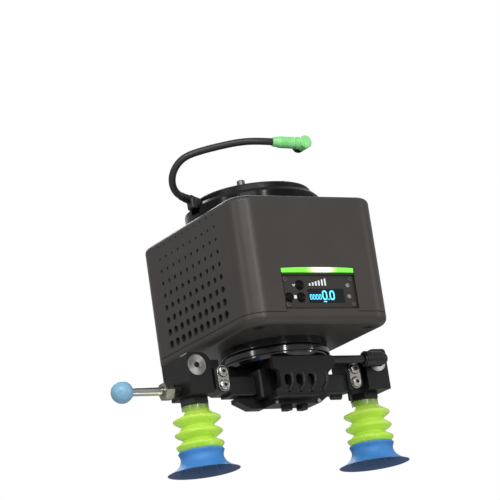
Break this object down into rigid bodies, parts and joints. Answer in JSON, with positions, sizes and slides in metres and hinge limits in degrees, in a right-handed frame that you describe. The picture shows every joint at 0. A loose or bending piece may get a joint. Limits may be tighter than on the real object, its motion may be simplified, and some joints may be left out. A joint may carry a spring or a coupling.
{
  "type": "electric vacuum gripper",
  "caption": "Robot vacuum gripper: grey pump box with control panel, cable, and an adjustable head carrying bellows suction cups on tilting yokes.",
  "frame": {"origin": "centre of the adapter face that meets the robot's flange", "axes": "+Z out of the box towards the robot, +X to the right along the front, the control panel faces -Y"},
  "size_m": [0.2348, 0.1474, 0.2323],
  "materials": {
    "black_metal": "black anodised, satin",
    "ring_black": "smooth black, semi-gloss",
    "cover_grey": "fine matt powder coat, warm dark grey",
    "screen_grey": "matt moulded mesh",
    "bolt_steel": "zinc plated, turned",
    "dark_screw": "black oxide",
    "cable_black": "smooth matt jacket",
    "connector_green": "moulded, satin",
    "led_green": "diffusing, lit",
    "panel_black": "fine satin",
    "key_black": "soft matt",
    "lens_grey": "frosted",
    "display": "glossy dark glass, lit cyan readout",
    "cast_frame": "as cast and milled",
    "motor_metal": "dark paint",
    "iron": "laminated, oiled",
    "shaft_steel": "ground",
    "graphite": "carbon-graphite",
    "fan_plastic": "moulded",
    "board_green": "solder mask",
    "collar_black": "polished black",
    "grip_black": "fine moulded satin, glass filled",
    "grip_aluminium": "dark anodised, machined",
    "fitting_black": "satin",
    "bright_steel": "bright, polished",
    "bellows_green": "translucent polyurethane, glossy",
    "lip_blue": "matt soft silicone",
    "ball_blue": "smooth light blue"
  },
  "bodies": {
    "housing": {"robot_adapter": "black_metal", "lock_ring": "ring_black", "robot_bolts": "bolt_steel", "cable_gland": "fitting_black", "cable": "cable_black", "cable_connector": "connector_green", "upper_cover": "cover_grey", "lower_cover": "cover_grey", "cover_screws": "dark_screw", "vent_screens": "screen_grey", "led_bar": "led_green", "control_panel": "panel_black", "panel_screws": "bolt_steel", "display_glass": "display", "indicator_lenses": "lens_grey", "chassis": "cast_frame", "motor_housing": "motor_metal", "motor_stator": "iron", "shaft_bearings": "shaft_steel", "pump_housing": "cast_frame", "pump_cover": "cast_frame", "control_board": "board_green", "valve_block": "cast_frame", "release_valve": "motor_metal", "swivel_base": "collar_black"},
    "key_upper": {"key_upper": "key_black"},
    "key_lower_left": {"key_lower_left": "key_black"},
    "key_lower_right": {"key_lower_right": "key_black"},
    "pump_drive": {"drive_shaft": "shaft_steel", "motor_rotor": "iron", "pump_rotor": "iron", "pump_vanes": "graphite", "cooling_fan": "fan_plastic"},
    "head": {"swivel_collar": "collar_black", "swivel_stem": "shaft_steel", "gripper_body": "grip_black", "front_clip": "grip_black", "body_screws": "bright_steel", "port_plugs": "dark_screw"},
    "left_arm": {"left_arm": "grip_aluminium", "left_lock_plate": "bright_steel", "left_lock_screws": "bright_steel", "left_pivot_pin": "bright_steel"},
    "right_arm": {"right_arm": "grip_aluminium", "right_lock_plate": "bright_steel", "right_lock_screws": "bright_steel", "right_pivot_pin": "bright_steel", "vacuum_hose": "cable_black", "hose_elbow": "fitting_black"},
    "left_yoke": {"left_yoke": "grip_black", "lever_rod": "bright_steel", "lever_nut": "bright_steel", "lever_ball": "ball_blue", "left_cup_fitting": "fitting_black", "left_bellows": "bellows_green"},
    "right_yoke": {"right_yoke": "grip_black", "right_cup_fitting": "fitting_black", "right_bellows": "bellows_green"},
    "left_lip": {"left_lip": "lip_blue"},
    "right_lip": {"right_lip": "lip_blue"}
  },
  "joints": [
    {"name": "pump_spin", "type": "hinge", "parent": "housing", "child": "pump_drive", "pos_m": [0, 0, -0.066], "axis": [0, 1, 0], "continuous": true},
    {"name": "key_upper_press", "type": "slide", "parent": "housing", "child": "key_upper", "axis": [0, 1, 0], "range_m": [0, 0.0006], "stiffness_N_per_m": 500, "springref_m": -0.0005},
    {"name": "key_lower_left_press", "type": "slide", "parent": "housing", "child": "key_lower_left", "axis": [0, 1, 0], "range_m": [0, 0.0006], "stiffness_N_per_m": 500, "springref_m": -0.0005},
    {"name": "key_lower_right_press", "type": "slide", "parent": "housing", "child": "key_lower_right", "axis": [0, 1, 0], "range_m": [0, 0.0006], "stiffness_N_per_m": 500, "springref_m": -0.0005},
    {"name": "head_swivel", "type": "hinge", "parent": "housing", "child": "head", "pos_m": [0, 0, -0.12], "axis": [0, 0, 1], "range_deg": [-90, 90]},
    {"name": "left_arm_slide", "type": "slide", "parent": "head", "child": "left_arm", "axis": [-1, 0, 0], "range_m": [-0.012, 0.012]},
    {"name": "left_tilt", "type": "hinge", "parent": "left_arm", "child": "left_yoke", "pos_m": [-0.0763, 0, -0.129], "axis": [0, 1, 0], "range_deg": [-5, 12]},
    {"name": "left_cup_stroke", "type": "slide", "parent": "left_yoke", "child": "left_lip", "axis": [0, 0, 1], "range_m": [0, 0.012], "stiffness_N_per_m": 900, "deforming": ["left_bellows"]},
    {"name": "right_arm_slide", "type": "slide", "parent": "head", "child": "right_arm", "axis": [1, 0, 0], "range_m": [-0.012, 0.012]},
    {"name": "right_tilt", "type": "hinge", "parent": "right_arm", "child": "right_yoke", "pos_m": [0.0763, 0, -0.129], "axis": [0, -1, 0], "range_deg": [-5, 12]},
    {"name": "right_cup_stroke", "type": "slide", "parent": "right_yoke", "child": "right_lip", "axis": [0, 0, 1], "range_m": [0, 0.012], "stiffness_N_per_m": 900, "deforming": ["right_bellows"]}
  ]
}
